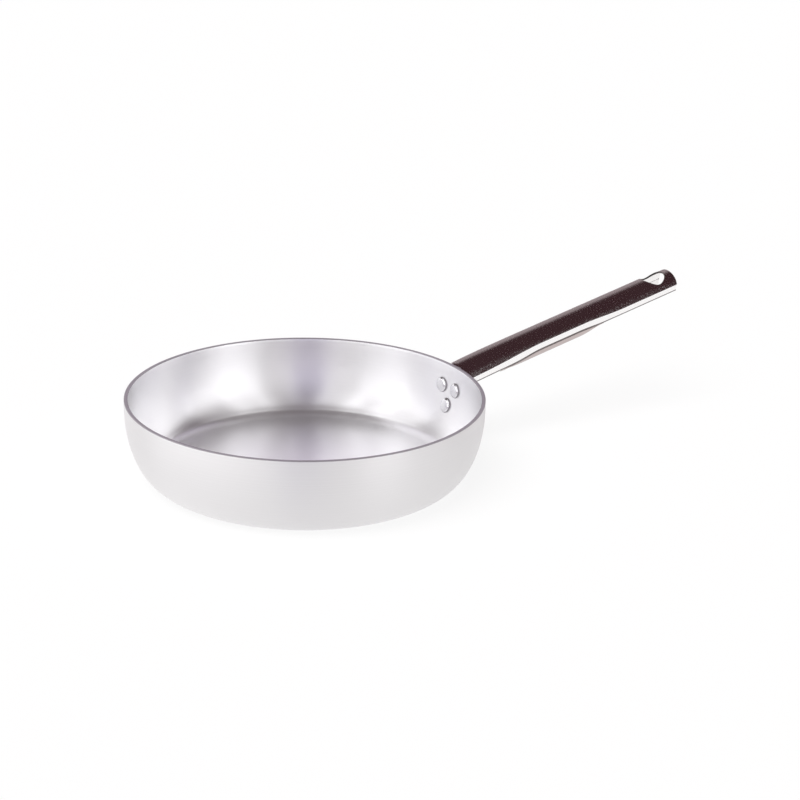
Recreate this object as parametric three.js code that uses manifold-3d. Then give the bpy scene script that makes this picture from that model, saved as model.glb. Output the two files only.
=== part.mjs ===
// Saute pan: a spun aluminium pan, a rolled steel handle and the three rivets that hold it.
// Millimetres, +Z up. The pan stands on z = 0 with its axis on Z, and the handle points along +X.

import * as THREE from 'three';
import { ParametricGeometry } from 'three/addons/geometries/ParametricGeometry.js';
import { mergeVertices } from 'three/addons/utils/BufferGeometryUtils.js';
import Module from 'manifold-3d';

const { clamp, degToRad, lerp, smoothstep } = THREE.MathUtils;

// Pan
const rimRadius = 140;
const panHeight = 64.5;
const baseRadius = 111.6; // flat part of the underside
const uprightFrom = 56.4; // height where the curved wall turns upright
const wallThickness = 3;
const panSegments = 96;
const cornerSteps = 7;

// Handle: one steel sheet, rolled to a tube that is open underneath. A reach is a distance along
// the tube's axis, from the wall.
const tubeRadius = 12;
const sheetThickness = 1.5;
const handleTilt = degToRad(11.93);
const axisHeightAtWall = 53.95; // where the tube's axis would meet the wall
const handleReach = 231.2;
const sheetHalfWidth = 24.5; // measured round the tube, from the crown to the edge
const gripHalfWidth = 34.5; // lips close most of the underside at the grip
const gripStart = 38;
const gripEnd = 152;
const gripRunIn = 36;
const gripRunOut = 26;

// Neck: the tube opens into a trough, turns down and lies on the pan's outer wall as a tongue
const flareStart = 30;
const neckRadius = 14;
const neckHalfWidth = 20;
const neckTaperReach = 26;
const neckBendRadius = 6;
const tongueHalfWidth = 18.5;
const tongueEndRadius = 9.5;
const tongueTaperHeight = 42; // the tongue narrows to its round end below this
const sectionSteps = 18;

// Hanging hole, punched through the crown, a little longer along the tube than it is wide
const hangHoleWidth = 20.5;
const hangHoleLength = 22.8;
const hangHoleReach = 214.2;
const hangHoleSegments = 36;

// Rivets: a flat head inside the pan, a formed tail on the tongue
const rivetShankRadius = 1.85;
const rivetHead = { radius: 6.2, flatRadius: 4.6, height: 2.4, edge: 1.2 };
const rivetTail = { radius: 5.4, flatRadius: 3.2, height: 2, edge: 1 };
const rivetSegments = 24;
const upperRivetSpacing = 19;
const upperRivetHeight = 44.9;
const lowerRivetHeight = 29.5;

const gap = 0.3; // clearance between touching pieces
const headLift = 0.6; // the hollow wall curves towards a flat rivet head, which needs this much room

const aluminium = new THREE.MeshStandardMaterial({ color: '#d8d8dc', roughness: 0.38, metalness: 1 });
const steel = new THREE.MeshStandardMaterial({ color: '#c9c4c2', roughness: 0.12, metalness: 1 });
const rivetAlloy = new THREE.MeshStandardMaterial({ color: '#e2e2e4', roughness: 0.22, metalness: 1 });

const wasm = await Module();
wasm.setup();

// A closed three.js geometry as a solid that can be cut
function toSolid(geometry) {
  const bare = geometry.clone();
  bare.deleteAttribute('normal');
  bare.deleteAttribute('uv');
  const merged = mergeVertices(bare, 1e-4);
  const triVerts = [];
  for (let i = 0; i < merged.index.count; i += 3) {
    const [a, b, c] = [0, 1, 2].map((corner) => merged.index.getX(i + corner));
    if (a !== b && b !== c && c !== a) triVerts.push(a, b, c);
  }
  return new wasm.Manifold(new wasm.Mesh({
    numProp: 3,
    vertProperties: new Float32Array(merged.attributes.position.array),
    triVerts: new Uint32Array(triVerts),
  }));
}

function toMesh(name, solid, material) {
  const { vertProperties, triVerts } = solid.getMesh();
  const geometry = new THREE.BufferGeometry();
  geometry.setAttribute('position', new THREE.BufferAttribute(vertProperties, 3));
  geometry.setIndex(new THREE.BufferAttribute(triVerts, 1));
  geometry.computeVertexNormals();
  const mesh = new THREE.Mesh(geometry, material);
  mesh.name = name;
  return mesh;
}

// The wall's outline is a quarter ellipse from the flat base to where it turns upright. Its angle
// is 0 at the base and a right angle where it is upright, and an offset follows its normal.
const cornerWidth = rimRadius - baseRadius;

function wallNormal(angle) {
  return new THREE.Vector2(uprightFrom * Math.sin(angle), -cornerWidth * Math.cos(angle)).normalize();
}

function wallPoint(angle, offset) {
  const x = baseRadius + cornerWidth * Math.sin(angle);
  const y = uprightFrom * (1 - Math.cos(angle));
  return new THREE.Vector2(x, y).addScaledVector(wallNormal(angle), offset);
}

function wallAngle(height) {
  return Math.acos(1 - height / uprightFrom);
}

function wallOutline(offset) {
  const points = [];
  for (let i = 0; i <= cornerSteps; i += 1) {
    points.push(wallPoint((i / cornerSteps) * (Math.PI / 2), offset));
  }
  points.push(new THREE.Vector2(rimRadius + offset, panHeight));
  return points;
}

function buildPan() {
  const profile = [
    new THREE.Vector2(0, 0),
    ...wallOutline(0),
    ...wallOutline(-wallThickness).reverse(),
    new THREE.Vector2(0, wallThickness),
  ];
  return toSolid(new THREE.LatheGeometry(profile, panSegments).rotateX(Math.PI / 2));
}

// The sheet's crown line lies in the XZ plane: straight along the tube, round the neck's bend and
// down the wall. The bend touches the tube's crown and the wall's upright face.
const along = new THREE.Vector2(Math.cos(handleTilt), Math.sin(handleTilt));
const across = new THREE.Vector2(-along.y, along.x);
const axisAtWall = new THREE.Vector2(rimRadius, axisHeightAtWall);
const tongueFace = rimRadius + gap;
const crownAtWall = axisAtWall.clone().addScaledVector(across, tubeRadius);
const crownHeightAtFace = crownAtWall.y + (tongueFace - crownAtWall.x) * Math.tan(handleTilt);
const bendCentre = new THREE.Vector2(
  tongueFace + neckBendRadius,
  crownHeightAtFace + neckBendRadius * (Math.tan(handleTilt) - 1 / Math.cos(handleTilt)),
);
const bendReach = bendCentre.clone().sub(crownAtWall).dot(along);
const bendAngle = Math.PI / 2 - handleTilt;
const tongueTop = Math.min(bendCentre.y, uprightFrom);

function tubeHalfWidth(reach) {
  const lipStart = smoothstep(reach, gripStart, gripStart + gripRunIn);
  const lipEnd = smoothstep(reach, gripEnd - gripRunOut, gripEnd);
  const full = lerp(sheetHalfWidth, gripHalfWidth, lipStart * (1 - lipEnd));
  return lerp(neckHalfWidth, full, smoothstep(reach, bendReach, neckTaperReach));
}

function tongueHalfWidthAt(height) {
  const drop = Math.max(lowerRivetHeight - height, 0);
  const roundEnd = Math.sqrt(Math.max(tongueEndRadius ** 2 - drop ** 2, 1));
  const shoulder = lerp(tongueHalfWidth, neckHalfWidth, smoothstep(height, upperRivetHeight, tongueTop));
  return lerp(roundEnd, shoulder, smoothstep(height, lowerRivetHeight, tongueTaperHeight));
}

function tubeSection(reach) {
  const flare = smoothstep(reach, bendReach, flareStart);
  return {
    point: crownAtWall.clone().addScaledVector(along, reach),
    normal: across,
    curvature: lerp(1 / neckRadius, 1 / tubeRadius, flare),
    halfWidth: tubeHalfWidth(reach),
  };
}

function bendSection(share) {
  const turn = Math.PI / 2 + handleTilt + share * bendAngle;
  const normal = new THREE.Vector2(Math.cos(turn), Math.sin(turn));
  return {
    point: bendCentre.clone().addScaledVector(normal, neckBendRadius),
    normal,
    curvature: lerp(1 / neckRadius, -1 / tongueFace, smoothstep(share, 0, 1)),
    halfWidth: neckHalfWidth,
  };
}

function tongueSection(height) {
  const angle = wallAngle(height);
  const outward = wallNormal(angle);
  const point = wallPoint(angle, gap);
  return {
    point,
    normal: outward.clone().negate(),
    curvature: -outward.x / point.x,
    halfWidth: tongueHalfWidthAt(height),
  };
}

// Places from one value up to, but not including, the next
function spread(from, to, steps) {
  return Array.from({ length: steps }, (_, i) => lerp(from, to, i / steps));
}

function handleSections() {
  const reaches = [
    ...spread(handleReach, gripEnd, 2),
    ...spread(gripEnd, gripEnd - gripRunOut, 5),
    ...spread(gripEnd - gripRunOut, gripStart + gripRunIn, 2),
    ...spread(gripStart + gripRunIn, gripStart, 6),
    ...spread(gripStart, bendReach, 6),
  ];
  const heights = [
    ...spread(tongueTop, tongueTaperHeight, 3),
    ...spread(tongueTaperHeight, lowerRivetHeight, 4),
    ...spread(0, Math.PI / 2, 5).map((turn) => lowerRivetHeight - tongueEndRadius * Math.sin(turn)),
    lowerRivetHeight - tongueEndRadius,
  ];
  return [
    ...reaches.map(tubeSection),
    ...spread(0, 1, 8).map(bendSection),
    ...heights.map(tongueSection),
  ];
}

// The sheet as one closed skin. Each section runs over the outer face and back along the inner
// one, and at both ends it is folded flat to close the edge.
function buildSheet() {
  const sections = handleSections();
  const lastRow = sections.length + 1;
  const slices = 2 * sectionSteps + 2;
  const skin = (u, v, target) => {
    const row = Math.round(v * lastRow);
    const folded = row === 0 || row === lastRow;
    const { point, normal, curvature, halfWidth } = sections[clamp(row - 1, 0, sections.length - 1)];
    const step = Math.round(u * slices) % slices;
    const inside = step > sectionSteps;
    const place = inside ? 2 * sectionSteps + 1 - step : step;
    const arc = curvature * halfWidth * ((2 * place) / sectionSteps - 1);
    const faceDepth = inside ? sheetThickness : 0;
    const depth = folded ? sheetThickness / 2 : faceDepth;
    const side = Math.sin(arc) * (1 / curvature - depth);
    const rise = Math.cos(arc) * (1 / curvature - depth) - 1 / curvature;
    target.set(point.x + rise * normal.x, side, point.y + rise * normal.y);
  };
  return toSolid(new ParametricGeometry(skin, slices, lastRow));
}

function hangHole() {
  const height = 2 * tubeRadius;
  const radius = hangHoleWidth / 2;
  const hole = new THREE.CylinderGeometry(radius, radius, height, hangHoleSegments);
  const foot = axisAtWall.clone().addScaledVector(along, hangHoleReach);
  hole.rotateX(Math.PI / 2).translate(0, 0, height / 2).scale(hangHoleLength / hangHoleWidth, 1, 1);
  hole.rotateY(-handleTilt).translate(foot.x, 0, foot.y);
  return toSolid(hole);
}

// A place on the wall's outer face, with its Z axis pointing out of the wall
function onWall(height, sideways) {
  const angle = wallAngle(height);
  const point = wallPoint(angle, 0);
  const outward = wallNormal(angle);
  const lean = Math.PI / 2 - Math.atan2(outward.y, outward.x);
  return new THREE.Matrix4().makeRotationZ(Math.asin(sideways / point.x))
    .multiply(new THREE.Matrix4().makeTranslation(point.x, 0, point.y))
    .multiply(new THREE.Matrix4().makeRotationY(lean));
}

function buildRivet(place) {
  const headSeat = -wallThickness - headLift;
  const headTop = headSeat - rivetHead.height;
  const tailSeat = 2 * gap + sheetThickness;
  const tailTop = tailSeat + rivetTail.height;
  const profile = [
    [0, headTop],
    [rivetHead.flatRadius, headTop],
    [rivetHead.radius, headSeat - rivetHead.edge],
    [rivetHead.radius, headSeat],
    [rivetShankRadius, headSeat],
    [rivetShankRadius, tailSeat],
    [rivetTail.radius, tailSeat],
    [rivetTail.radius, tailSeat + rivetTail.edge],
    [rivetTail.flatRadius, tailTop],
    [0, tailTop],
  ].map(([radius, height]) => new THREE.Vector2(radius, height));
  const rivet = new THREE.LatheGeometry(profile, rivetSegments).rotateX(Math.PI / 2);
  return toSolid(rivet.applyMatrix4(place));
}

function rivetHole(place) {
  const radius = rivetShankRadius + gap;
  const hole = new THREE.CylinderGeometry(radius, radius, 4 * wallThickness, rivetSegments);
  return toSolid(hole.rotateX(Math.PI / 2).applyMatrix4(place));
}

const rivets = {
  rivet_upper_left: onWall(upperRivetHeight, upperRivetSpacing / 2),
  rivet_upper_right: onWall(upperRivetHeight, -upperRivetSpacing / 2),
  rivet_lower: onWall(lowerRivetHeight, 0),
};

let panSolid = buildPan();
let handleSolid = buildSheet().subtract(hangHole());
for (const place of Object.values(rivets)) {
  panSolid = panSolid.subtract(rivetHole(place));
  handleSolid = handleSolid.subtract(rivetHole(place));
}

const sautePan = new THREE.Group();
sautePan.add(toMesh('pan_body', panSolid, aluminium));
sautePan.add(toMesh('handle', handleSolid, steel));
for (const [name, place] of Object.entries(rivets)) {
  sautePan.add(toMesh(name, buildRivet(place), rivetAlloy));
}

export default sautePan;
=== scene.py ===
import math

import bmesh
import bpy
from mathutils import Matrix, Vector


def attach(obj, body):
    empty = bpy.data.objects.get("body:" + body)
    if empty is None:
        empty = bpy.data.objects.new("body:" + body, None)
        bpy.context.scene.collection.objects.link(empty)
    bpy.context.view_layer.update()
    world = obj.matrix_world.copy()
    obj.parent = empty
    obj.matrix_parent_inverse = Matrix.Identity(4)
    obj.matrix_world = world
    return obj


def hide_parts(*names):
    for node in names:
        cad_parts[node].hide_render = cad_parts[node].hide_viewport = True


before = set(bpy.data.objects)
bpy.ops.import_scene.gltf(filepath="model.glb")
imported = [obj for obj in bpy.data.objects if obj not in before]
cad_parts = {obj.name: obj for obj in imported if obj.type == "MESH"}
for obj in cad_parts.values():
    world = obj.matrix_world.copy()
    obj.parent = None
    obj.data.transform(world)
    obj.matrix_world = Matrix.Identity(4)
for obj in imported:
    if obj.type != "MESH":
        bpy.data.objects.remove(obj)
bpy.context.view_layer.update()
print("frame loaded:", ", ".join(sorted(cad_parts)))

mm = 0.001
near = 0.01  # in mm: two places this close count as one
sharpFrom = math.radians(40)  # a steeper edge than this isn't shaded smooth
scene = bpy.context.scene
scene.view_settings.view_transform = "Standard"


def linear(hexColour):
    parts = [int(hexColour[i:i + 2], 16) / 255 for i in (1, 3, 5)]
    return [p / 12.92 if p <= 0.04045 else ((p + 0.055) / 1.055) ** 2.4 for p in parts] + [1.0]


def smoothStep(value, low, high):
    share = min(max((value - low) / (high - low), 0.0), 1.0)
    return share * share * (3 - 2 * share)


def mix(a, b, share):
    return a + (b - a) * share


# adds one node, sets its options, and links or fills its inputs
def addNode(tree, kind, options=None, inputs=None):
    node = tree.nodes.new(kind)
    for key, value in (options or {}).items():
        setattr(node, key, value)
    for key, value in (inputs or {}).items():
        if isinstance(value, bpy.types.NodeSocket):
            tree.links.new(value, node.inputs[key])
        else:
            node.inputs[key].default_value = value
    return node


# a mix of two colours: a mix node's colours are inputs 6 and 7, and output 2
def mixColours(tree, share, first, second):
    blend = addNode(tree, "ShaderNodeMix", {"data_type": "RGBA"},
                    {0: share, 6: linear(first), 7: linear(second)})
    return blend.outputs[2]


def newMaterial(name):
    material = bpy.data.materials.new(name)
    material.use_nodes = True
    tree = material.node_tree
    tree.nodes.clear()
    output = addNode(tree, "ShaderNodeOutputMaterial")
    return material, tree, output


# the points that a bmesh operator made
def madeVerts(result):
    return [item for item in result["geom"] if isinstance(item, bmesh.types.BMVert)]


# the edges on an opening whose two points both pass a test
def openEdges(bm, test):
    return [edge for edge in bm.edges
            if len(edge.link_faces) == 1 and all(test(vert.co) for vert in edge.verts)]


def finishMesh(bm, name, materials):
    bm.normal_update()
    for face in bm.faces:
        face.smooth = True
    for edge in bm.edges:
        if len(edge.link_faces) == 2 and edge.calc_face_angle() > sharpFrom:
            edge.smooth = False
    mesh = bpy.data.meshes.new(name)
    bm.to_mesh(mesh)
    bm.free()
    for material in materials:
        mesh.materials.append(material)
    piece = bpy.data.objects.new(name, mesh)
    scene.collection.objects.link(piece)
    return piece


# camera, fitted to the photograph
shot = {
    "place": (-0.7240, -1.2114, 0.5779),
    "elevation": 20.133,
    "azimuth": -33.85,
    "roll": 1.2048,
    "lens": 86.88,
    "sensor": 36,
    "farthest": 60,
}
cameraData = bpy.data.cameras.new("camera")
cameraData.lens = shot["lens"]
cameraData.sensor_width = shot["sensor"]
cameraData.clip_end = shot["farthest"]
camera = bpy.data.objects.new("camera", cameraData)
camera.matrix_world = (Matrix.Translation(shot["place"])
                       @ Matrix.Rotation(math.radians(shot["azimuth"]), 4, "Z")
                       @ Matrix.Rotation(math.radians(90 - shot["elevation"]), 4, "X")
                       @ Matrix.Rotation(math.radians(shot["roll"]), 4, "Z"))
scene.collection.objects.link(camera)
scene.camera = camera
print("camera set")

# a white sweep in a dark room, with a ring of white panels round the pan. A turn is counted from the
# camera's side, plus to the right. Each panel has one of a few levels. The panels light the pan only,
# and the low and front ones its rivets too: flags keep them off the handle, which mirrors the dark room,
# its back wall and the sweep.
studio = {
    "floorRadius": 14.0,
    "floorSides": 128,
    "floorDrop": 0.2 * mm,  # clear of the pan's underside
    "floorColour": "#f4f3f3",
    "floorGlow": 0.88,  # share of plain white over the lit floor
    "sweepLamp": (-40, 62, 3.7),  # turn and elevation in degrees, and strength on the floor
    "sweepLampSize": math.radians(50),
    "room": "#3a282b",
    "backWall": "#95898b",
    "backWallFade": (0.4, 0.85),  # cosine of the angle from straight back: where it starts and is full
    "panelDistance": 3.0,
    "panelRows": ((5, 10), (18, 16), (44, 36)),  # elevation and height in degrees
    "panelLevels": {"off": 0, "faint": 0.2, "dim": 0.4, "fill": 0.8, "bright": 1.5, "key": 2.5},
    "panels": (  # turn, width, colour, and the level of each row from the lowest up
        (0, 24, "#d9d7ee", ("bright", "fill", "faint")),
        (25, 26, "#fdfdff", ("bright", "fill", "dim")),
        (51, 26, "#fdfdff", ("key", "bright", "fill")),
        (80, 32, "#fdfdff", ("fill", "bright", "dim")),
        (120, 48, "#fdfdff", ("off", "bright", "off")),
        (180, 60, "#dfdaec", ("dim", "faint", "fill")),
        (-125, 50, "#fdfdff", ("bright", "fill", "dim")),
        (-85, 30, "#fdfdff", ("key", "bright", "fill")),
        (-55, 30, "#fdfdff", ("key", "bright", "fill")),
        (-26, 28, "#fdfdff", ("key", "fill", "fill")),
    ),
    "rivetElevation": 30,  # panels below this elevation light the rivets too
    "rivetTurn": 90,  # and so do those nearer to the camera's side than this turn
    "overhead": (180, 40, 85, 40, "#fdfdff", 0.1),  # turn, width, elevation, height, colour, level
}


def turnedDirection(turn, elevation):
    around = math.radians(shot["azimuth"] - 90 + turn)
    level = math.cos(math.radians(elevation))
    return Vector((level * math.cos(around), level * math.sin(around), math.sin(math.radians(elevation))))


floorMesh = bmesh.new()
bmesh.ops.create_circle(floorMesh, cap_ends=True, radius=studio["floorRadius"],
                        segments=studio["floorSides"],
                        matrix=Matrix.Translation((0, 0, -studio["floorDrop"])))
floorMaterial, tree, output = newMaterial("white_paper_sweep")  # matt paper, keeps soft shadows
path = addNode(tree, "ShaderNodeLightPath")
seen = addNode(tree, "ShaderNodeMath", {"operation": "ADD"},
               {0: path.outputs["Is Camera Ray"], 1: path.outputs["Is Glossy Ray"]})
seen = addNode(tree, "ShaderNodeMath", {"operation": "ADD", "use_clamp": True},
               {0: seen.outputs[0], 1: path.outputs["Is Transmission Ray"]})
share = addNode(tree, "ShaderNodeMath", {"operation": "MULTIPLY"},
                {0: seen.outputs[0], 1: studio["floorGlow"]})
paper = addNode(tree, "ShaderNodeBsdfDiffuse", None, {"Color": linear(studio["floorColour"])})
glow = addNode(tree, "ShaderNodeEmission", None, {"Color": (1, 1, 1, 1), "Strength": 1.0})
blend = addNode(tree, "ShaderNodeMixShader", None,
                {0: share.outputs[0], 1: paper.outputs[0], 2: glow.outputs[0]})
tree.links.new(blend.outputs[0], output.inputs["Surface"])
floorPiece = finishMesh(floorMesh, "floor", [floorMaterial])

world = bpy.data.worlds.new("studio")
scene.world = world
world.use_nodes = True
tree = world.node_tree
tree.nodes.clear()
coords = addNode(tree, "ShaderNodeTexCoord")
towardsBack = addNode(tree, "ShaderNodeVectorMath", {"operation": "DOT_PRODUCT"},
                      {0: coords.outputs["Generated"], 1: turnedDirection(180, 0)})
wallStart, wallFull = studio["backWallFade"]
backShare = addNode(tree, "ShaderNodeMapRange", {"interpolation_type": "SMOOTHSTEP"},
                    {"Value": towardsBack.outputs["Value"], "From Min": wallStart, "From Max": wallFull})
room = mixColours(tree, backShare.outputs[0], studio["room"], studio["backWall"])
sky = addNode(tree, "ShaderNodeBackground", None, {"Color": room, "Strength": 1.0})
addNode(tree, "ShaderNodeOutputWorld", None, {"Surface": sky.outputs[0]})


# a white panel that faces the pan
def panel(turn, width, elevation, height, tint, level):
    lamp = bpy.data.lights.new("panel", "AREA")
    lamp.shape = "RECTANGLE"
    lamp.size = 2 * studio["panelDistance"] * math.tan(math.radians(width / 2))
    lamp.size_y = 2 * studio["panelDistance"] * math.tan(math.radians(height / 2))
    lamp.energy = math.pi * lamp.size * lamp.size_y * level
    lamp.color = linear(tint)[:3]
    piece = bpy.data.objects.new("panel", lamp)
    towards = turnedDirection(turn, elevation)
    piece.matrix_world = (Matrix.Translation(towards * studio["panelDistance"])
                          @ towards.to_track_quat("Z", "Y").to_matrix().to_4x4())
    piece.visible_camera = False
    scene.collection.objects.link(piece)
    return piece


litPan = bpy.data.collections.new("lit_pan")
litAll = bpy.data.collections.new("lit_pan_and_rivets")
for turn, width, tint, levels in studio["panels"]:
    for (elevation, height), levelName in zip(studio["panelRows"], levels):
        level = studio["panelLevels"][levelName]
        if level > 0:
            lit = panel(turn, width, elevation, height, tint, level)
            onRivets = elevation < studio["rivetElevation"] or abs(turn) < studio["rivetTurn"]
            lit.light_linking.receiver_collection = litAll if onRivets else litPan

overhead = panel(*studio["overhead"])
overhead.light_linking.receiver_collection = litPan

litFloor = bpy.data.collections.new("lit_by_sweep_lamp")
litFloor.objects.link(floorPiece)
sweepTurn, sweepElevation, sweepStrength = studio["sweepLamp"]
sweepData = bpy.data.lights.new("sweep_lamp", "SUN")
sweepData.energy = sweepStrength
sweepData.angle = studio["sweepLampSize"]
sweepLamp = bpy.data.objects.new("sweep_lamp", sweepData)
towardsLamp = turnedDirection(sweepTurn, sweepElevation)
sweepLamp.matrix_world = towardsLamp.to_track_quat("Z", "Y").to_matrix().to_4x4()
sweepLamp.light_linking.receiver_collection = litFloor
scene.collection.objects.link(sweepLamp)
print("studio set")


# pan: an aluminium disc spun to a curved wall, with a fine step where the corner meets the floor
pan = {
    "rimRadius": 140, "height": 64.5, "baseRadius": 111.6, "uprightFrom": 56.4, "wall": 3,
    "turns": 192, "cornerSteps": 100, "topRises": 3,
    "floorRings": (0.97, 0.9, 0.75, 0.5, 0.25, 0),  # shares of the base's radius
    "rimRound": 0.5, "rimRoundSteps": 3, "rimCorner": math.radians(60),
    "stepRadius": 121.2, "stepWidth": 2.0, "stepDepth": 0.18, "stepFade": 30,
}
cornerWidth = pan["rimRadius"] - pan["baseRadius"]


def wallNormal(angle):
    out = Vector((pan["uprightFrom"] * math.sin(angle), 0, -cornerWidth * math.cos(angle)))
    return out.normalized()


def wallPoint(angle, offset=0.0):
    place = Vector((pan["baseRadius"] + cornerWidth * math.sin(angle), 0,
                    pan["uprightFrom"] * (1 - math.cos(angle))))
    return place + wallNormal(angle) * offset


def wallAngle(height):
    return math.acos(1 - height / pan["uprightFrom"])


# a pattern of circles round the pan's axis, counted along its outline, with broad soft patches
def turnedLines(tree, look):
    place = addNode(tree, "ShaderNodeTexCoord").outputs["Object"]
    level = addNode(tree, "ShaderNodeVectorMath", {"operation": "MULTIPLY"}, {0: place, 1: (1, 1, 0)})
    radius = addNode(tree, "ShaderNodeVectorMath", {"operation": "LENGTH"}, {0: level.outputs[0]})
    height = addNode(tree, "ShaderNodeSeparateXYZ", None, {0: place})
    along = addNode(tree, "ShaderNodeMath", {"operation": "ADD"},
                    {0: radius.outputs["Value"], 1: height.outputs[2]})
    lines = addNode(tree, "ShaderNodeTexNoise", {"noise_dimensions": "1D"},
                    {"W": along.outputs[0], "Scale": 1 / (look["lineSpacing"] * mm), "Detail": 3.0})
    patches = addNode(tree, "ShaderNodeTexNoise", None,
                      {"Vector": place, "Scale": 1 / (look["patchSize"] * mm), "Detail": 2.0})
    both = addNode(tree, "ShaderNodeMix", None,
                   {0: look["patchShare"], 2: lines.outputs[0], 3: patches.outputs[0]})
    return both.outputs[0]


# a metal whose tone, roughness and surface follow a pattern between 0 and 1
def metalSkin(tree, output, pattern, look):
    tone = mixColours(tree, pattern, *look["tones"])
    smoothest, roughest = look["roughness"]
    rough = addNode(tree, "ShaderNodeMapRange", None,
                    {"Value": pattern, "To Min": smoothest, "To Max": roughest})
    relief = addNode(tree, "ShaderNodeBump", None, {"Height": pattern, "Distance": look["relief"] * mm})
    skin = addNode(tree, "ShaderNodeBsdfPrincipled", None,
                   {"Base Color": tone, "Metallic": 1.0, "Roughness": rough.outputs[0],
                    "Normal": relief.outputs[0]})
    tree.links.new(skin.outputs[0], output.inputs["Surface"])
    if "anisotropy" in look:  # reflections are drawn out across the turning lines
        around = addNode(tree, "ShaderNodeTangent", {"direction_type": "RADIAL", "axis": "Z"})
        tree.links.new(around.outputs[0], skin.inputs["Tangent"])
        skin.inputs["Anisotropic"].default_value = look["anisotropy"]
        skin.inputs["Anisotropic Rotation"].default_value = 0.25  # a quarter turn


def turnedMetal(name, look):
    material, tree, output = newMaterial(name)
    metalSkin(tree, output, turnedLines(tree, look), look)
    return material


# spun aluminium, polished satin inside: soft reflections and faint turning lines. The real lines are
# about 0.3 mm apart, and are drawn at 1.5 mm so that they show.
inside = turnedMetal("spun_aluminium_inside", {
    "lineSpacing": 1.5, "patchSize": 40, "patchShare": 0.4, "anisotropy": 0.8,
    "tones": ("#f9f9fa", "#ffffff"), "roughness": (0.27, 0.35), "relief": 0.004,
})
# the same aluminium, sanded outside: almost matt, a warmer and slightly darker grey
outside = turnedMetal("sanded_aluminium_outside", {
    "lineSpacing": 1.1, "patchSize": 60, "patchShare": 0.4, "anisotropy": 0.8,
    "tones": ("#e1dfe0", "#eae9e9"), "roughness": (0.44, 0.52), "relief": 0.004,
})
# the cut edge of the rim, turned on a lathe: dull, and darker as painted shade, so it draws a grey line
# round the pan where the rounded rim shows shade and dark reflections
rimEdgeWithPaintedShade = turnedMetal("turned_aluminium_rim_painted_shade", {
    "lineSpacing": 0.6, "patchSize": 12, "patchShare": 0.5,
    "tones": ("#a5a2a5", "#bdbabc"), "roughness": (0.34, 0.5), "relief": 0.006,
})


# below zero on the inside of the pan, above zero on the outside
def facing(place, normal):
    around = Vector((place.x, place.y, 0)).normalized()
    return normal.dot(around) - normal.z


bm = bmesh.new()
corner = bm.verts.new((pan["baseRadius"], 0, 0))
bmesh.ops.spin(bm, geom=[corner], cent=(pan["baseRadius"], 0, pan["uprightFrom"]), axis=(0, -1, 0),
               angle=math.pi / 2, steps=pan["cornerSteps"])
bmesh.ops.scale(bm, vec=(cornerWidth / pan["uprightFrom"], 1, 1), verts=bm.verts,
                space=Matrix.Translation((-pan["baseRadius"], 0, 0)))
top = max(bm.verts, key=lambda vert: vert.co.z)
for count in range(pan["topRises"]):
    top = bmesh.ops.extrude_vert_indiv(bm, verts=[top])["verts"][0]
    top.co.z += (pan["height"] - pan["uprightFrom"]) / pan["topRises"]
foot = min(bm.verts, key=lambda vert: vert.co.z)
for share in pan["floorRings"]:
    foot = bmesh.ops.extrude_vert_indiv(bm, verts=[foot])["verts"][0]
    foot.co.x = pan["baseRadius"] * share
bmesh.ops.spin(bm, geom=bm.verts[:] + bm.edges[:], cent=(0, 0, 0), axis=(0, 0, 1),
               angle=2 * math.pi, steps=pan["turns"], use_merge=True)
bmesh.ops.remove_doubles(bm, verts=bm.verts, dist=near)
bmesh.ops.recalc_face_normals(bm, faces=bm.faces)
bmesh.ops.solidify(bm, geom=bm.faces[:], thickness=pan["wall"])
bm.normal_update()
for vert in bm.verts:  # the step, on the inside only: the floor side lies a little deeper
    radius = vert.co.xy.length
    if vert.co.z < pan["height"] / 2 and facing(vert.co, vert.normal) < 0:
        deep = 1 - smoothStep(radius, pan["stepRadius"] - pan["stepWidth"] / 2,
                              pan["stepRadius"] + pan["stepWidth"] / 2)
        deep *= smoothStep(radius, pan["stepRadius"] - pan["stepFade"], pan["stepRadius"] - pan["stepWidth"])
        vert.co -= vert.normal * pan["stepDepth"] * deep
rimEdges = [edge for edge in bm.edges
            if all(vert.co.z > pan["height"] - near for vert in edge.verts)
            and edge.calc_face_angle() > pan["rimCorner"]]
bmesh.ops.bevel(bm, geom=rimEdges, offset=pan["rimRound"], affect="EDGES",
                segments=pan["rimRoundSteps"], profile=0.5, material=-1)
bm.normal_update()
for face in bm.faces:
    middle = face.calc_center_median()
    # the rim's faces take the darker rim material: a painted shade line
    if middle.z > pan["height"] - pan["rimRound"]:
        face.material_index = 2
    else:
        face.material_index = 0 if facing(middle, face.normal) < 0 else 1
bmesh.ops.scale(bm, vec=(mm, mm, mm), verts=bm.verts)
panPiece = finishMesh(bm, "pan", [inside, outside, rimEdgeWithPaintedShade])
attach(panPiece, "root")
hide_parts("pan_body")
litPan.objects.link(panPiece)
litAll.objects.link(panPiece)
print("pan made")

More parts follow.
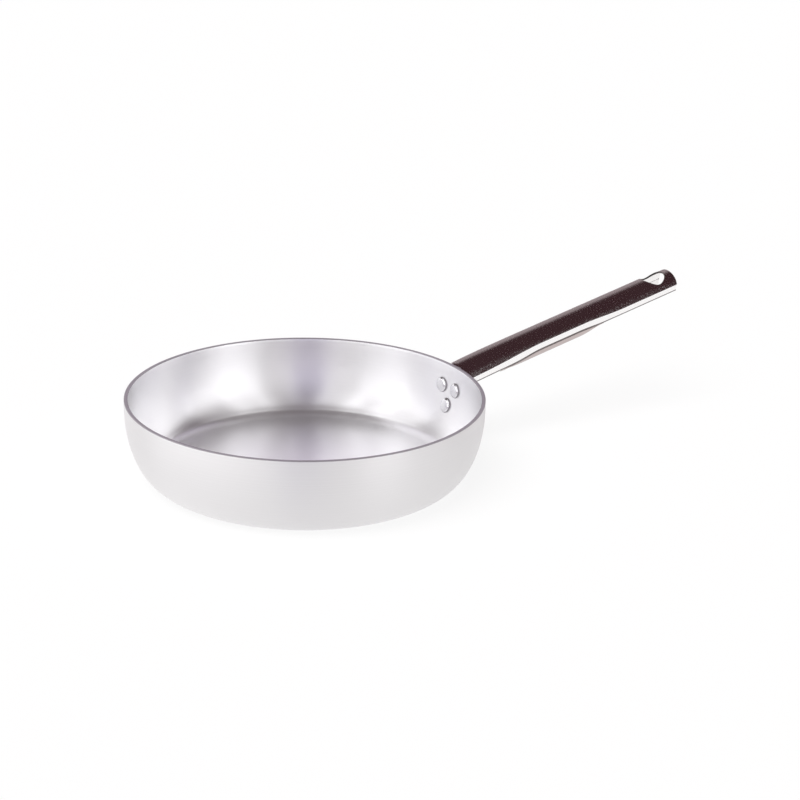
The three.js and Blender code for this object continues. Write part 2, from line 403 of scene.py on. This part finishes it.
# handle: one steel sheet, rolled to a tube that is open underneath, with its neck bent down on the pan's
# wall. A reach is a distance along the tube's axis from the wall. The section goes from the crown over a
# round side, a short straight side, a fold and a flange to the cut edge, in columns.
handle = {
    "tubeRadius": 12, "sheet": 1.5, "tilt": math.radians(11.93), "axisHeight": 53.95, "reach": 231.2,
    "crownColumns": 20, "arcEnd": math.radians(74),
    "foldColumns": 2, "foldBack": 0.4, "sideTilt": math.radians(16), "leastSide": 0.5,
    "flangeTilt": math.radians(-4), "flangeShares": (0.07, 0.3, 0.56, 0.82, 1.0),
    # the fold and the cut edge, as they stand off the axis in the photograph: higher along the grip
    # and lower at the neck, each change between two reaches
    "foldLine": {"level": -6.0, "gripRise": 1.6, "riseIn": (40, 85), "riseOut": (128, 172),
                 "neckFall": 1.1, "fallOut": (20, 60)},
    "edgeLine": {"level": -10.05, "gripRise": 1.05, "riseIn": (55, 85), "riseOut": (124, 150),
                 "neckFall": 1.15, "fallOut": (50, 80)},
    "viewSide": -0.4955, "viewUp": 0.8686,  # the photograph's direction across the handle, in its section
    "neckColumns": 10, "sideEnd": 2.6, "neckFlatFrom": 60, "neckFlatTo": 52,
    "neckDrop": 1.2, "neckDropLength": 18, "bendRadius": 2.5,
    "tongueGap": 0.3, "tongueHalfWidth": 18.5, "tongueEndRadius": 9.5, "tongueTaperHeight": 42,
    "lipStart": 39, "lipEnd": 151, "lipIn": (34, 92), "lipOut": (116, 152), "lipColumns": 8,
    "lipWidth": 3.8, "leastLip": 0.3, "thickLip": 2.5, "formedLip": 0.8,  # widths below the cut edge
    "lipRadius": 12.6, "lipInset": 0.1, "lipRoundShare": 0.5, "lipDepth": 0.7,
    "grooveTurn": math.radians(1.6), "lipTurn": math.radians(4), "leastLipTurn": math.radians(0.8),
    "lipTuck": math.radians(15),
    "holeReach": 214.2, "holeHalfLength": 11.4, "holeHalfWidth": 10.25,
    "patchEnds": (32, 2), "patchColumns": 18, "spokeCuts": 3,  # the opening round the hole, from the tip
    "tipDrop": 1.2, "tipDropFrom": 212, "tipDropTo": 228, "cornerTrim": 1.9, "cornerFrom": 222,
    "tipRows": 33, "rowStep": 2, "lastRowGap": 3, "bendRows": 12, "tongueRows": 18, "endRows": 7,
    "softWidth": 0.3, "softSteps": 2, "softFrom": math.radians(50),
}
upperRivetHeight, lowerRivetHeight, rivetSpacing = 44.9, 29.5, 19
flangeStart = handle["crownColumns"] + handle["foldColumns"] + 1
halfColumns = flangeStart + len(handle["flangeShares"]) - 1
alongTube = Vector((math.cos(handle["tilt"]), 0, math.sin(handle["tilt"])))
acrossTube = Vector((-alongTube.z, 0, alongTube.x))
crownAtWall = Vector((pan["rimRadius"], 0, handle["axisHeight"])) + acrossTube * handle["tubeRadius"]
neckCrown = crownAtWall - acrossTube * handle["neckDrop"]
tongueFace = pan["rimRadius"] + handle["tongueGap"]
crownAtFace = neckCrown.z + (tongueFace - neckCrown.x) * math.tan(handle["tilt"])
bendCentre = Vector((tongueFace + handle["bendRadius"], 0, crownAtFace + handle["bendRadius"]
                     * (math.tan(handle["tilt"]) - 1 / math.cos(handle["tilt"]))))
bendReach = (bendCentre - neckCrown).dot(alongTube)
bendLength = handle["bendRadius"] * (math.pi / 2 - handle["tilt"])
perColumn = handle["arcEnd"] / handle["crownColumns"]
neckHalfWidth = handle["tubeRadius"] * perColumn * handle["neckColumns"]


# how far a place in the section stands off the axis in the photograph
def standOff(place):
    return handle["viewSide"] * place[0] + handle["viewUp"] * place[1]


def lineOffset(line, reach):
    rise = smoothStep(reach, *line["riseIn"]) * (1 - smoothStep(reach, *line["riseOut"]))
    fall = 1 - smoothStep(reach, *line["fallOut"])
    return line["level"] + line["gripRise"] * rise - line["neckFall"] * fall


# a place further down the section, at a tilt from straight down
def step(place, tilt, length):
    return place[0] + math.sin(tilt) * length, place[1] - math.cos(tilt) * length


# how far the lip shows below the cut edge: least at its ends, most under the middle of the grip
def lipShown(reach):
    grown = smoothStep(reach, *handle["lipIn"]) * (1 - smoothStep(reach, *handle["lipOut"]))
    return max(handle["lipWidth"] * grown, handle["leastLip"])


# the lip below a cut edge: column 1 is a groove, and the others are the lip's own face
def lipSection(reach, lip, edge):
    width = lipShown(reach)
    formed = smoothStep(width, 0, handle["formedLip"])
    edgeTurn, edgeRadius = math.atan2(edge[1], edge[0]), math.hypot(*edge)
    if lip == 1:
        turn = edgeTurn - handle["grooveTurn"] * formed
        radius = edgeRadius - handle["lipDepth"] * formed
    else:
        lowest = math.atan2(-handle["viewUp"], -handle["viewSide"])
        below = min((width - lineOffset(handle["edgeLine"], reach)) / handle["lipRadius"], 1.0)
        lastTurn = min(lowest + math.acos(below), edgeTurn - handle["leastLipTurn"])
        lastTurn -= handle["lipTuck"] * smoothStep(width, 0, handle["lipWidth"])
        share = (lip - 2) / (handle["lipColumns"] - 2)
        turn = mix(edgeTurn - handle["lipTurn"] * formed, lastTurn, share)
        lipRadius = mix(edgeRadius, handle["lipRadius"], formed)
        rounded = smoothStep(share, 0, handle["lipRoundShare"])
        radius = mix(edgeRadius - handle["lipInset"], lipRadius, rounded)
    return radius * math.cos(turn), radius * math.sin(turn)


# half of the tube's section at a column: sideways, and up from the axis
def tubeSection(reach, column):
    radius, columns = handle["tubeRadius"], handle["crownColumns"]
    turn = handle["arcEnd"] * min(column, columns) / columns
    drop = handle["tipDrop"] * smoothStep(reach, handle["tipDropFrom"], handle["tipDropTo"])
    drop *= (math.cos(turn) - math.cos(handle["arcEnd"])) / (1 - math.cos(handle["arcEnd"]))
    place = radius * math.sin(turn), radius * math.cos(turn) - drop
    if column <= columns:
        return place
    perSide = standOff((math.sin(handle["sideTilt"]), -math.cos(handle["sideTilt"])))
    sideLength = (lineOffset(handle["foldLine"], reach) - standOff(place)) / perSide
    sideLength = max(sideLength, handle["leastSide"])
    fold = step(place, handle["sideTilt"], sideLength)
    if column < flangeStart:
        back = handle["foldBack"] if round(column) == columns + 1 else 0.0
        return step(place, handle["sideTilt"], sideLength - back)
    perFlange = standOff((math.sin(handle["flangeTilt"]), -math.cos(handle["flangeTilt"])))
    flangeLength = (lineOffset(handle["edgeLine"], reach) - standOff(fold)) / perFlange
    share = handle["flangeShares"][min(round(column), halfColumns) - flangeStart]
    place = step(fold, handle["flangeTilt"], flangeLength * share)
    if column <= halfColumns:
        return place
    return lipSection(reach, round(column) - halfColumns, place)


def plainSection(curvature, halfWidth, column):
    turn = curvature * halfWidth * column / handle["neckColumns"]
    return math.sin(turn) / curvature, (math.cos(turn) - 1) / curvature


# a place on the flat blank, along the sheet and in columns across it, rolled to its shape
def roll(along, column):
    width, side = abs(column), math.copysign(1, column)
    if along >= bendReach or width > handle["neckColumns"]:  # the tube
        sideways, rise = tubeSection(along, width)
        drop = handle["neckDrop"] * math.exp(-max(along - bendReach, 0) / handle["neckDropLength"])
        rise -= handle["tubeRadius"] + drop
        trim = handle["cornerTrim"] * smoothStep(width, handle["crownColumns"], halfColumns)
        trim *= max(along - handle["cornerFrom"], 0) / (handle["reach"] - handle["cornerFrom"])
        crown, normal = crownAtWall + alongTube * (along - trim), acrossTube
    elif along >= bendReach - bendLength:  # the bend
        share = (bendReach - along) / bendLength
        turn = math.pi / 2 + handle["tilt"] + share * (math.pi / 2 - handle["tilt"])
        normal = Vector((math.cos(turn), 0, math.sin(turn)))
        crown = bendCentre + normal * handle["bendRadius"]
        sideways, rise = plainSection(1 / handle["tubeRadius"], neckHalfWidth, width)
    else:  # the tongue on the wall
        height = bendCentre.z - (bendReach - bendLength - along)
        angle = wallAngle(min(height, pan["uprightFrom"]))
        normal = -wallNormal(angle)
        crown = wallPoint(angle, handle["tongueGap"])
        if height > pan["uprightFrom"]:
            crown.z = height
        belowRivet = max(lowerRivetHeight - height, 0)
        roundEnd = math.sqrt(max(handle["tongueEndRadius"] ** 2 - belowRivet ** 2, 1))
        flat = smoothStep(bendCentre.z - height, bendCentre.z - handle["neckFlatFrom"],
                          bendCentre.z - handle["neckFlatTo"])
        shoulder = mix(neckHalfWidth, handle["tongueHalfWidth"], flat)
        taper = smoothStep(height, lowerRivetHeight, handle["tongueTaperHeight"])
        curvature = mix(1 / handle["tubeRadius"], normal.x / crown.x, flat)
        sideways, rise = plainSection(curvature, mix(roundEnd, shoulder, taper), width)
    return crown + normal * rise + Vector((0, side * sideways, 0))


# a grain that lies along the tube, drawn out by a stretch of 1 or more, between two levels of its noise
def drawnGrain(tree, look):
    lowest, highest = look.get("grainRange", (0.0, 1.0))
    place = addNode(tree, "ShaderNodeTexCoord").outputs["Object"]
    turned = addNode(tree, "ShaderNodeVectorRotate", {"rotation_type": "Y_AXIS"},
                     {"Vector": place, "Angle": handle["tilt"]})
    drawn = addNode(tree, "ShaderNodeVectorMath", {"operation": "MULTIPLY"},
                    {0: turned.outputs[0], 1: (1 / look["stretch"], 1, 1)})
    noise = addNode(tree, "ShaderNodeTexNoise", None,
                    {"Vector": drawn.outputs[0], "Scale": 1 / (look["grain"] * mm), "Detail": 2.0})
    grain = addNode(tree, "ShaderNodeMapRange", None,
                    {"Value": noise.outputs[0], "From Min": lowest, "From Max": highest})
    return grain.outputs[0]


def grainedMetal(name, look):
    material, tree, output = newMaterial(name)
    metalSkin(tree, output, drawnGrain(tree, look), look)
    return material


# polished stainless sheet: a mirror with a fine speckle where the dark room meets the white sweep
steel = grainedMetal("polished_stainless", {
    "grain": 0.7, "stretch": 1.5, "grainRange": (0.4, 0.72),
    "tones": ("#f7f5f5", "#fffefd"), "roughness": (0.15, 0.3), "relief": 0.001,
})
# sheared edge of the sheet: dull, with short scores, and darker than the polished face as painted shade: the
# dark line that shadow and dark reflections draw along the edge
cutEdgeWithPaintedShade = grainedMetal("sheared_stainless_edge_painted_shade", {
    "grain": 0.6, "stretch": 4,
    "tones": ("#6f6968", "#8f8887"), "roughness": (0.34, 0.5), "relief": 0.01,
})
# inside of the tube: rolled mill finish, bright, with faint lines along the sheet
millFace = grainedMetal("mill_stainless", {
    "grain": 1.2, "stretch": 14,
    "tones": ("#eeeceb", "#f9f7f6"), "roughness": (0.12, 0.3), "relief": 0.008,
})
# lips under the grip: brushed along the handle; their warm grey is painted shade, standing in for the shaded
# floor that they reflect under the handle
lipWithPaintedShade = grainedMetal("brushed_stainless_lip_painted_shade", {
    "grain": 0.8, "stretch": 30,
    "tones": ("#bdb0ae", "#d6cbc9"), "roughness": (0.38, 0.5), "relief": 0.008,
})

rowPlaces = [handle["reach"] - row for row in range(handle["tipRows"])]  # close rows round the hole
while rowPlaces[-1] > bendReach + handle["lastRowGap"]:
    rowPlaces.append(rowPlaces[-1] - handle["rowStep"])
rowPlaces += [bendReach - bendLength * row / handle["bendRows"] for row in range(handle["bendRows"] + 1)]
lastDrop = bendCentre.z - lowerRivetHeight
tongueDrops = [lastDrop * row / handle["tongueRows"] for row in range(1, handle["tongueRows"])]
tongueDrops += [lastDrop + handle["tongueEndRadius"] * math.sin(row / handle["endRows"] * math.pi / 2)
                for row in range(handle["endRows"] + 1)]
rowPlaces += [bendReach - bendLength - drop for drop in tongueDrops]

bm = bmesh.new()
bmesh.ops.create_grid(bm, x_segments=len(rowPlaces) - 1, y_segments=2 * halfColumns, size=1)
for vert in bm.verts:  # the flat blank: along the sheet, and columns across it
    row = round((vert.co.x + 1) / 2 * (len(rowPlaces) - 1))
    column = round((vert.co.y + 1) / 2 * 2 * halfColumns) - halfColumns
    vert.co = (rowPlaces[row], column, 0)

# cut the neck: its middle bends down on the wall, and the sides run on straight almost to the wall
neckSides = [face for face in bm.faces if face.calc_center_median().x < bendReach
             and abs(face.calc_center_median().y) > handle["neckColumns"]]
bmesh.ops.delete(bm, geom=neckSides, context="FACES")
for sideReach in (mix(bendReach, handle["sideEnd"], 0.5), handle["sideEnd"]):
    neckEdges = openEdges(bm, lambda place: place.x < bendReach + near
                          and abs(place.y) > handle["neckColumns"] + 1 - near)
    sideEnds = [edge for edge in neckEdges if abs(edge.verts[0].co.x - edge.verts[1].co.x) < near]
    for vert in madeVerts(bmesh.ops.extrude_edge_only(bm, edges=sideEnds)):
        vert.co.x = sideReach

# punch the hanging hole: open the grid round it and draw the opening's edge in to the hole
patchFrom, patchTo = [handle["reach"] - back for back in handle["patchEnds"]]
inPatch = [face for face in bm.faces if patchFrom < face.calc_center_median().x < patchTo
           and abs(face.calc_center_median().y) < handle["patchColumns"]]
bmesh.ops.delete(bm, geom=inPatch, context="FACES")
aroundPatch = openEdges(bm, lambda place: patchFrom - near < place.x < patchTo + near
                        and abs(place.y) < handle["patchColumns"] + near)
holeVerts = madeVerts(bmesh.ops.extrude_edge_only(bm, edges=aroundPatch))
for vert in holeVerts:
    turn = math.atan2(handle["tubeRadius"] * vert.co.y * perColumn, vert.co.x - (patchFrom + patchTo) / 2)
    vert.co.x = handle["holeReach"] + handle["holeHalfLength"] * math.cos(turn)
    vert.co.y = math.asin(handle["holeHalfWidth"] * math.sin(turn) / handle["tubeRadius"]) / perColumn
onHole = set(holeVerts)
spokes = [edge for edge in bm.edges if (edge.verts[0] in onHole) != (edge.verts[1] in onHole)]
bmesh.ops.subdivide_edges(bm, edges=spokes, cuts=handle["spokeCuts"], use_grid_fill=False)

# draw the lips out of the cut edges, along the grip
for lip in range(handle["lipColumns"]):
    lipEdges = openEdges(bm, lambda place: abs(abs(place.y) - halfColumns - lip) < near
                         and handle["lipStart"] - near <= place.x <= handle["lipEnd"] + near)
    for vert in madeVerts(bmesh.ops.extrude_edge_only(bm, edges=lipEdges)):
        vert.co.y += math.copysign(1, vert.co.y)
for face in bm.faces:  # a dull strip along the cut edge, and the lips: both darker as painted shade
    across = abs(face.calc_center_median().y)
    if across > halfColumns - 1:
        face.material_index = 1 if across < halfColumns + 1 else 2
thickness = bm.verts.layers.deform.verify()
for vert in bm.verts:  # the lips get thin towards their ends
    onLip = smoothStep(abs(vert.co.y), halfColumns, halfColumns + 1)
    lipShare = smoothStep(lipShown(vert.co.x), handle["leastLip"], handle["thickLip"])
    vert[thickness][0] = mix(1, lipShare, onLip)
    vert.co = roll(vert.co.x, vert.co.y)
bmesh.ops.recalc_face_normals(bm, faces=bm.faces)
bm.normal_update()
crownFace = max(bm.faces, key=lambda face: face.calc_center_median().z)
if crownFace.normal.z < 0:
    bmesh.ops.reverse_faces(bm, faces=bm.faces)
bmesh.ops.scale(bm, vec=(mm, mm, mm), verts=bm.verts)
# the sheet's cut faces and its inside come after the outside's slots
outsideSlots = [steel, cutEdgeWithPaintedShade, lipWithPaintedShade]
sheetSlots = outsideSlots + [cutEdgeWithPaintedShade] * len(outsideSlots) + [millFace] * len(outsideSlots)
handlePiece = finishMesh(bm, "handle_sheet", sheetSlots)
thick = handlePiece.modifiers.new("sheet", "SOLIDIFY")
thick.thickness = handle["sheet"] * mm
thick.vertex_group = handlePiece.vertex_groups.new(name="thickness").name
thick.offset = -1
thick.material_offset_rim = len(outsideSlots)
thick.material_offset = 2 * len(outsideSlots)
soft = handlePiece.modifiers.new("edges", "BEVEL")
soft.width = handle["softWidth"] * mm
soft.segments = handle["softSteps"]
soft.limit_method = "ANGLE"
soft.angle_limit = handle["softFrom"]
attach(handlePiece, "root")
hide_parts("handle")
print("handle made")


# rivets: a flat head inside the pan, a formed tail outside on the handle's tongue. Levels are counted
# outwards from the wall's outer face.
rivet = {
    "axis": 0, "headRadius": 6.2, "headFlat": 4.6, "headTop": -5.1, "headEdge": -4.0, "headSeat": -2.6,
    "tailRadius": 5.4, "tailFlat": 3.2, "tailTop": 4.1, "tailEdge": 3.1, "tailSeat": 1.6,
    "shank": 1.85, "turns": 48, "shadeBand": 0.45,
    "round": 0.5, "roundSteps": 4, "roundFrom": math.radians(20), "roundBeyond": 3.1,
}
# pressed aluminium rivet: bright, with a smooth rounded edge that mirrors the room, and pressing marks
rivetMetal = grainedMetal("pressed_aluminium", {
    "grain": 1.5, "stretch": 1,
    "tones": ("#e9e9eb", "#f7f7f8"), "roughness": (0.14, 0.24), "relief": 0.004,
})
# the side of the head, dull from the press and darker as painted shade: a thin grey line round each rivet,
# standing in for the contact shadow where the head meets the wall
rivetSideWithPaintedShade = grainedMetal("pressed_aluminium_side_painted_shade", {
    "grain": 1.5, "stretch": 1,
    "tones": ("#a09ea1", "#b8b6b9"), "roughness": (0.3, 0.4), "relief": 0.004,
})

rivetPlaces = {
    "rivet_upper_left": (upperRivetHeight, rivetSpacing / 2),
    "rivet_upper_right": (upperRivetHeight, -rivetSpacing / 2),
    "rivet_lower": (lowerRivetHeight, 0),
}
rivetOutline = [("axis", "headTop"), ("headFlat", "headTop"), ("headRadius", "headEdge"),
                ("headRadius", "headSeat"), ("shank", "headSeat"), ("shank", "tailSeat"),
                ("tailRadius", "tailSeat"), ("tailRadius", "tailEdge"), ("tailFlat", "tailTop"),
                ("axis", "tailTop")]
for name, (height, sideways) in rivetPlaces.items():
    bm = bmesh.new()
    outline = [bm.verts.new((rivet[radius], 0, rivet[level])) for radius, level in rivetOutline]
    for start, end in zip(outline, outline[1:]):
        bm.edges.new((start, end))
    bmesh.ops.spin(bm, geom=bm.verts[:] + bm.edges[:], cent=(0, 0, 0), axis=(0, 0, 1),
                   angle=2 * math.pi, steps=rivet["turns"], use_merge=True)
    bmesh.ops.remove_doubles(bm, verts=bm.verts, dist=near)
    bmesh.ops.recalc_face_normals(bm, faces=bm.faces)
    ridges = [edge for edge in bm.edges if edge.calc_face_angle() > rivet["roundFrom"]
              and abs(edge.verts[0].co.z - edge.verts[1].co.z) < near
              and edge.verts[0].co.xy.length > rivet["roundBeyond"]]
    bmesh.ops.bevel(bm, geom=ridges, offset=rivet["round"], affect="EDGES",
                    segments=rivet["roundSteps"], profile=0.5, material=-1)
    # the outer side of the head takes the darker material: a painted shadow line round the head
    for face in bm.faces:
        middle = face.calc_center_median()
        if middle.z < 0 and middle.xy.length > rivet["headRadius"] - rivet["shadeBand"]:
            face.material_index = 1
    angle = wallAngle(height)
    place, outward = wallPoint(angle), wallNormal(angle)
    lean = math.pi / 2 - math.atan2(outward.z, outward.x)
    onWall = (Matrix.Rotation(math.asin(sideways / place.x), 4, "Z")
              @ Matrix.Translation(place) @ Matrix.Rotation(lean, 4, "Y"))
    bmesh.ops.transform(bm, matrix=Matrix.Scale(mm, 4) @ onWall, verts=bm.verts)
    piece = finishMesh(bm, name + "_head", [rivetMetal, rivetSideWithPaintedShade])
    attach(piece, "root")
    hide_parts(name)
    litAll.objects.link(piece)
print("rivets made")
